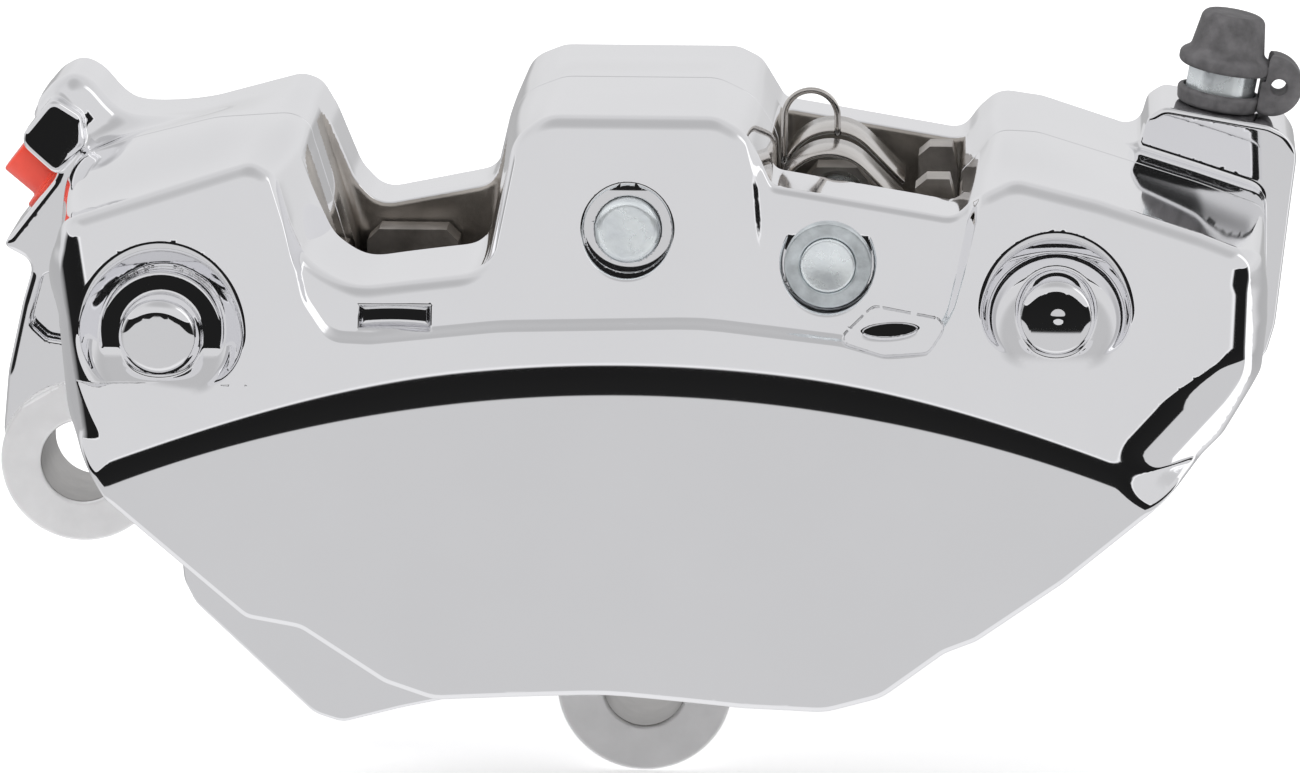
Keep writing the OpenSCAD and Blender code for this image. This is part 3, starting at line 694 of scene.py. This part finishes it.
def strip(name, centre_line, widths, thick):
    """A bent metal strip: XZ centre-line points, with the Y span (low, high) at each of them."""
    line = np.array(centre_line, float)
    ahead = np.gradient(line, axis=0)
    ahead /= np.linalg.norm(ahead, axis=1)[:, None]
    side = np.stack([-ahead[:, 1], ahead[:, 0]], 1) * thick / 2
    verts, faces = [], []
    for p, s, (low, high) in zip(line, side, widths):
        for q, y in ((p - s, low), (p + s, low), (p + s, high), (p - s, high)):
            verts.append((q[0], y, q[1]))
    for i in range(len(line) - 1):
        for k in range(4):
            j = (k + 1) % 4
            faces.append((4 * i + k, 4 * i + j, 4 * i + 4 + j, 4 * i + 4 + k))
    faces.append((0, 1, 2, 3))
    last = 4 * (len(line) - 1)
    faces.append((last + 3, last + 2, last + 1, last))
    obj = solid(name, verts, faces)
    edge = obj.modifiers.new("edge", "BEVEL")
    edge.width, edge.segments, edge.limit_method = 0.00009, 2, "ANGLE"
    edge.angle_limit = math.radians(50)
    return obj


def arc(centre, r, start, end, count):
    """Points on an XZ arc, angles in degrees from +X towards +Z."""
    return [(centre[0] + r * math.cos(math.radians(a)), centre[1] + r * math.sin(math.radians(a)))
            for a in np.linspace(start, end, count)]


# ------------------------------------------------------------------ materials

def material(name, colour, rough, metal=0.0, mottling=0.1, scale=400.0, bump=0.1, bump_scale=2000.0,
             rough_range=0.08, tint=None):
    """A Principled material with noise in its colour, roughness and bump."""
    mat = bpy.data.materials.new(name)
    mat.use_nodes = True
    nodes, links = mat.node_tree.nodes, mat.node_tree.links
    shader = nodes["Principled BSDF"]
    shader.inputs["Metallic"].default_value = metal
    place = nodes.new("ShaderNodeTexCoord").outputs["Object"]
    noise = nodes.new("ShaderNodeTexNoise")
    noise.inputs["Scale"].default_value = scale
    noise.inputs["Detail"].default_value = 4
    links.new(place, noise.inputs["Vector"])
    ramp = nodes.new("ShaderNodeValToRGB")
    dark = [c * (1 - mottling) for c in colour]
    light = tint or [min(1, c * (1 + mottling)) for c in colour]
    ramp.color_ramp.elements[0].position, ramp.color_ramp.elements[1].position = 0.3, 0.7
    ramp.color_ramp.elements[0].color = (*dark, 1)
    ramp.color_ramp.elements[1].color = (*light, 1)
    links.new(noise.outputs["Fac"], ramp.inputs["Fac"])
    links.new(ramp.outputs["Color"], shader.inputs["Base Color"])
    spread = nodes.new("ShaderNodeMapRange")
    spread.inputs["To Min"].default_value = max(0.0, rough - rough_range / 2)
    spread.inputs["To Max"].default_value = rough + rough_range / 2
    links.new(noise.outputs["Fac"], spread.inputs["Value"])
    links.new(spread.outputs["Result"], shader.inputs["Roughness"])
    fine = nodes.new("ShaderNodeTexNoise")
    fine.inputs["Scale"].default_value = bump_scale
    fine.inputs["Detail"].default_value = 3
    links.new(place, fine.inputs["Vector"])
    relief = nodes.new("ShaderNodeBump")
    relief.inputs["Strength"].default_value = bump
    relief.inputs["Distance"].default_value = 0.0001
    links.new(fine.outputs["Fac"], relief.inputs["Height"])
    links.new(relief.outputs["Normal"], shader.inputs["Normal"])
    return mat


CHROME = material("chrome", (0.93, 0.93, 0.945), 0.045, 1.0, 0.01, 60, 0.012, 90, 0.03)
DULL = material("dull_plating", (0.52, 0.485, 0.445), 0.36, 1.0, 0.25, 180, 0.35, 900, 0.2)
MACHINED = material("machined_face", (0.86, 0.855, 0.86), 0.42, 0.6, 0.04, 300, 0.15, 1500, 0.1)
# the lugs' bore wall: machined metal, its grey darker than the machined faces as painted shade inside the
# bores
SHADED_BORE = material("bore_wall_shaded", (0.5, 0.49, 0.48), 0.4, 1.0, 0.1, 300, 0.2, 1500, 0.1)
ZINC = material("zinc_plate", (0.86, 0.905, 0.94), 0.27, 0.7, 0.1, 350, 0.25, 1400, 0.15)
WASHER = material("washer_plate", (0.7, 0.745, 0.765), 0.33, 0.8, 0.22, 420, 0.4, 1400, 0.2)
PISTON = material("piston_metal", (0.72, 0.7, 0.66), 0.22, 1.0, 0.05, 250, 0.08, 1500, 0.1)
SPRING = material("spring_steel", (0.66, 0.63, 0.6), 0.2, 1.0, 0.12, 220, 0.12, 1200, 0.12)
PLATE = material("plate_steel", (0.5, 0.47, 0.44), 0.4, 1.0, 0.2, 260, 0.3, 1500, 0.2)
LINING = material("friction_lining", (0.07, 0.066, 0.062), 0.85, 0.0, 0.7, 1500, 0.8, 2500, 0.2,
                  tint=(0.16, 0.14, 0.12))
SEAL = material("seal_rubber", (0.02, 0.02, 0.021), 0.5, 0.0, 0.3, 800, 0.2, 2500)
RUBBER = material("cap_rubber", (0.097, 0.094, 0.097), 0.6, 0.0, 0.25, 500, 0.5, 2600, 0.15,
                  tint=(0.15, 0.145, 0.15))
RED = material("red_plastic", (0.7, 0.062, 0.035), 0.38, 0.0, 0.08, 300, 0.2, 1200, 0.1)
RED.node_tree.nodes["Principled BSDF"].inputs["Subsurface Weight"].default_value = 0.15
RED.node_tree.nodes["Principled BSDF"].inputs["Subsurface Radius"].default_value = (0.002, 0.0006, 0.0004)


def finish_with(obj, mat):
    """Gives a piece its material."""
    obj.data.materials.clear()
    obj.data.materials.append(mat)


# ------------------------------------------------------------------ the pieces

def repaint(obj, test, mat):
    """Gives the faces for which test(centre, normal) is true, both in the disc frame, another material."""
    mesh = obj.data
    count = len(mesh.polygons)
    centre = np.empty(count * 3)
    normal = np.empty(count * 3)
    mesh.polygons.foreach_get("center", centre)
    mesh.polygons.foreach_get("normal", normal)
    centre = centre.reshape(-1, 3) / MM + [0.0, LUG_BACK, 0.0]
    chosen = test(centre, normal.reshape(-1, 3))
    index = np.zeros(count, int)
    mesh.polygons.foreach_get("material_index", index)
    index[chosen] = len(mesh.materials)
    mesh.materials.append(mat)
    mesh.polygons.foreach_set("material_index", index.astype(np.int32))


def in_pocket(p, n):
    """Inside the pad pocket, a window or a bore, away from their rims."""
    depth = np.abs(p[:, 1])
    floor = np.where(p[:, 1] > 0, 11.9, -20.0)
    room = brake_room(p[:, 0], depth, p[:, 2], floor)
    return (room < 0.25) & (depth > SLOT_HALF + 0.3) & (depth < BORE_END + 1)


def in_lug_bore(p, n):
    """On the wall of a lug's bore."""
    x, z = p[:, 0], p[:, 2]
    lug = np.minimum(rod(x, z, LEFT_LUG, LUG_BORE), rod(x, z, LOWER_LUG, LUG_BORE))
    return (lug < 0.2) & (np.abs(n[:, 1]) < 0.5)


def on_lug(p, n):
    """On the machined ring round a lug's bore."""
    x, z = p[:, 0], p[:, 2]
    lug = np.minimum(rod(x, z, LEFT_LUG, LEFT_LUG_R), rod(x, z, LOWER_LUG, LOWER_LUG_R))
    return (lug < 0.1) & (p[:, 1] > 5) & (p[:, 1] < 22.5)


HOUSING_CELL = 0.6
piece = cast("outboard_casting", outboard, (-80, -44, 4), (81, 1.5, 84), HOUSING_CELL)
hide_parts("outboard_housing")
finish_with(piece, CHROME)
repaint(piece, in_pocket, DULL)
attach(piece, "root")

piece = cast("inboard_casting", inboard, (-86, -1.5, -14), (85, 33, 84), HOUSING_CELL)
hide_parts("inboard_housing")
finish_with(piece, CHROME)
repaint(piece, in_pocket, DULL)
repaint(piece, on_lug, MACHINED)
# the bore walls take the darker grey, painted shade inside the lug bores
repaint(piece, in_lug_bore, SHADED_BORE)
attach(piece, "root")

for name, at, tip in (("left", LEFT_BOLT, -25.5), ("centre", CENTRE_BOLT, -29.8),
                      ("right", RIGHT_BOLT, -25.5)):
    low, high = bolt_box(at, tip)
    piece = cast(name + "_bolt", bolt(at, tip), low, high, 0.35)
    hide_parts(name + "_bridge_bolt")
    finish_with(piece, ZINC)
    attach(piece, "root")

SMALL = (
    ("pin", pin, "pad_pin", "root", ZINC, "zinc_plate", (20, -32.4, 58.5), (28.2, 27.8, 67), 0.3),
    ("pin_washer", washer, "pad_pin_washer", "root", WASHER, "zinc_plate",
     (18, -32, 56.8), (30.2, -28.8, 68.9), 0.2),
    ("bleed_screw", bleeder_screw, "bleeder_screw", "bleeder_screw", ZINC, "zinc_plate",
     (63, 11, 59), (79, 23, 86), 0.22),
    ("bleed_collar", bleeder_collar, "bleeder_collar", "bleeder_screw", RUBBER, "cap_rubber",
     (64.5, 10.5, 71.5), (78.5, 23.5, 78), 0.22),
    ("bleed_cap", bleeder_cap, "bleeder_cap", "bleeder_cap", RUBBER, "cap_rubber",
     (64, 10, 76), (81, 24, 88), 0.22),
    ("bleed_strap", bleeder_strap, "bleeder_strap", None, RUBBER, "cap_rubber",
     (72, 13.5, 70.5), (84, 20.5, 83), 0.2),
    ("transit_plug", inlet_plug, "inlet_plug", "inlet_plug", RED, "red_plastic",
     (-85, 7, 58), (-63, 21, 74), 0.22),
)
for name, field, node, body, mat, slot, low, high, cell in SMALL:
    piece = cast(name, field, low, high, cell)
    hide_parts(node)
    finish_with(piece, mat)
    if body:
        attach(piece, body)
    else:
        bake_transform(piece)

LEAF, LEAF_R, LEAF_TAIL = (23.6, 66.5), 6.05, 4.6
line = [(LEAF[0] - LEAF_R, 56.2), (LEAF[0] - LEAF_R, 61)] + arc(LEAF, LEAF_R, 180, 45, 24)
end = line[-1]
line += [(end[0] + LEAF_TAIL * t, end[1] - LEAF_TAIL * t) for t in (0.25, 0.5, 0.75, 1.0)]
rear = strip("leaf_rear", line, [(2.5, 12.0)] * len(line), 0.5)
front = strip("leaf_front", line, [(-12.0, -2.5)] * len(line), 0.5)
for piece in (rear, front):
    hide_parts("pad_spring_leaf")
    finish_with(piece, SPRING)
    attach(piece, "root")

WIRE_R, WIRE_AT = 3.3, (21.0, 75.0)
path = [(WIRE_AT[0] - WIRE_R, 0.0, z) for z in np.linspace(69, 74.5, 6)]
path += [(x, 0.0, z) for x, z in arc(WIRE_AT, WIRE_R, 180, 0, 25)]
path += [(WIRE_AT[0] + WIRE_R, 0.0, z) for z in np.linspace(74.6, 72.7, 3)]
piece = tube("spring_wire", path, 0.4)
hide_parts("pad_spring_wire")
finish_with(piece, SPRING)
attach(piece, "root")

for node, mat in (("crossover_seals", SEAL), *((s, PISTON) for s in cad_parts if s.endswith("piston")),
                  *((s, SEAL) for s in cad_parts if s.endswith("_seal")),
                  *((s, PLATE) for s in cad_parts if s.endswith("plate") or s.endswith("shim")),
                  *((s, LINING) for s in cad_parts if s.endswith("lining"))):
    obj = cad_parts[node]
    obj.data.materials.clear()
    obj.data.materials.append(mat)


# ------------------------------------------------------------------ stage, light and camera

FLOOR_Z = -11.1                        # the lower lug's underside
floor = solid("floor", [(-3000, -2500, FLOOR_Z), (3000, -2500, FLOOR_Z), (3000, 4000, FLOOR_Z),
                        (-3000, 4000, FLOOR_Z)], [(0, 1, 2, 3)])

scene = bpy.context.scene
scene.view_settings.view_transform = "Standard"

world = bpy.data.worlds.new("studio")
scene.world = world
world.use_nodes = True
nodes, links = world.node_tree.nodes, world.node_tree.links
nodes.clear()


def node(kind, **sockets):
    """A shader node with inputs set or linked, by name or as i0, i1 and so on by number."""
    n = nodes.new(kind)
    for name, value in sockets.items():
        socket = n.inputs[int(name[1:])] if name[0] == "i" and name[1:].isdigit() else n.inputs[name]
        if hasattr(value, "links"):
            links.new(value, socket)
        else:
            socket.default_value = value
    return n


def ramp(value, stops):
    """Grey tone that follows the stops (place, tone) as value goes from 0 to 1."""
    r = nodes.new("ShaderNodeValToRGB")
    r.color_ramp.interpolation = "EASE"
    bits = r.color_ramp.elements
    bits[0].position, bits[1].position = 0.0, 1.0
    for at, grey in stops[1:-1]:
        bits.new(at)
    for bit, (at, grey) in zip(bits, stops):
        bit.color = (grey, grey, grey * 1.01, 1)
    links.new(value, r.inputs["Fac"])
    return r.outputs["Color"]


look = node("ShaderNodeTexCoord").outputs["Generated"]
split = node("ShaderNodeSeparateXYZ", i0=look).outputs
rise = node("ShaderNodeMapRange", Value=split["Z"], **{"From Min": -1.0, "From Max": 1.0}).outputs[0]
ahead = node("ShaderNodeMapRange", Value=split["Y"], **{"From Min": -0.15, "From Max": 0.25}).outputs[0]
# the camera's side of the studio: pale table, dark room, ceiling bounce above
front_side = ramp(rise, [(0.0, 0.86), (0.08, 0.84), (0.14, 0.62), (0.425, 0.62), (0.435, 0.015),
                         (0.648, 0.012), (0.66, 0.93), (0.678, 0.7), (0.9, 0.7), (1.0, 0.5)])
# the side behind the object: the same table, a dimmer wall low down and a bright one above
far_side = ramp(rise, [(0.0, 0.86), (0.15, 0.8), (0.3, 0.5), (0.44, 0.46), (0.49, 0.7), (0.58, 0.75),
                       (0.7, 0.72), (0.9, 0.66), (1.0, 0.5)])


def mixed(factor, a, b):
    """Colour a where factor is 0 and b where it is 1."""
    mix = nodes.new("ShaderNodeMix")
    mix.data_type = "RGBA"
    for socket, value in zip((0, 6, 7), (factor, a, b)):
        if hasattr(value, "links"):
            links.new(value, mix.inputs[socket])
        else:
            mix.inputs[socket].default_value = value
    return mix.outputs[2]


# a narrow soft box stands to the right of the object
off_axis = node("ShaderNodeMath", i0=split["Y"], i1=-0.14).outputs[0]
off_axis.node.operation = "ADD"
nearness = node("ShaderNodeMath", i0=off_axis).outputs[0]
nearness.node.operation = "ABSOLUTE"
slim = node("ShaderNodeMapRange", Value=nearness, **{"From Min": 0.13, "From Max": 0.1}).outputs[0]
rightward = node("ShaderNodeMapRange", Value=split["X"], **{"From Min": 0.5, "From Max": 0.6}).outputs[0]
softbox = node("ShaderNodeMath", i0=slim, i1=rightward).outputs[0]
softbox.node.operation = "MULTIPLY"
room_tone = mixed(softbox, mixed(ahead, front_side, far_side), (1.15, 1.15, 1.15, 1))
room_light = node("ShaderNodeBackground", Color=room_tone)
white = node("ShaderNodeBackground", Color=(1, 1, 1, 1))
seen = node("ShaderNodeLightPath").outputs["Is Camera Ray"]
pick = node("ShaderNodeMixShader", i0=seen, i1=room_light.outputs[0], i2=white.outputs[0])
links.new(pick.outputs[0], nodes.new("ShaderNodeOutputWorld").inputs["Surface"])

mat = bpy.data.materials.new("pale_floor")
mat.use_nodes = True
nodes, links = mat.node_tree.nodes, mat.node_tree.links
nodes.clear()
matte = node("ShaderNodeBsdfDiffuse", Color=(0.9, 0.9, 0.9, 1))
lift = node("ShaderNodeEmission", Color=(1, 1, 1, 1), Strength=0.55)
seen_floor = nodes.new("ShaderNodeAddShader")
links.new(matte.outputs[0], seen_floor.inputs[0])
links.new(lift.outputs[0], seen_floor.inputs[1])
links.new(seen_floor.outputs[0], nodes.new("ShaderNodeOutputMaterial").inputs["Surface"])
floor.visible_glossy = False            # the chrome sees the studio's table tone from the world instead
floor.data.materials.append(mat)

key = bpy.data.objects.new("key", bpy.data.lights.new("key", "AREA"))
scene.collection.objects.link(key)
key.data.size = 0.8
key.data.energy = 14
key.location = (-0.5, -1.1, 1.1)
key.rotation_euler = (math.radians(42), 0, math.radians(-24))
key.visible_glossy = False             # it lights rubber and plastic; the chrome sees only the room

AIM = np.array([1.0, 0.0, 40.4])      # disc-frame point in the middle of the view
DISTANCE, AZIMUTH, ELEVATION = 1050.0, math.radians(3), math.radians(13)
camera = bpy.data.objects.new("camera", bpy.data.cameras.new("camera"))
scene.collection.objects.link(camera)
away = np.array([math.sin(AZIMUTH) * math.cos(ELEVATION), -math.cos(AZIMUTH) * math.cos(ELEVATION),
                 math.sin(ELEVATION)])
camera.location = to_row(AIM + DISTANCE * away)
camera.rotation_euler = (math.pi / 2 - ELEVATION, 0, AZIMUTH)
camera.data.sensor_width = 36
camera.data.lens = 232.6
scene.camera = camera
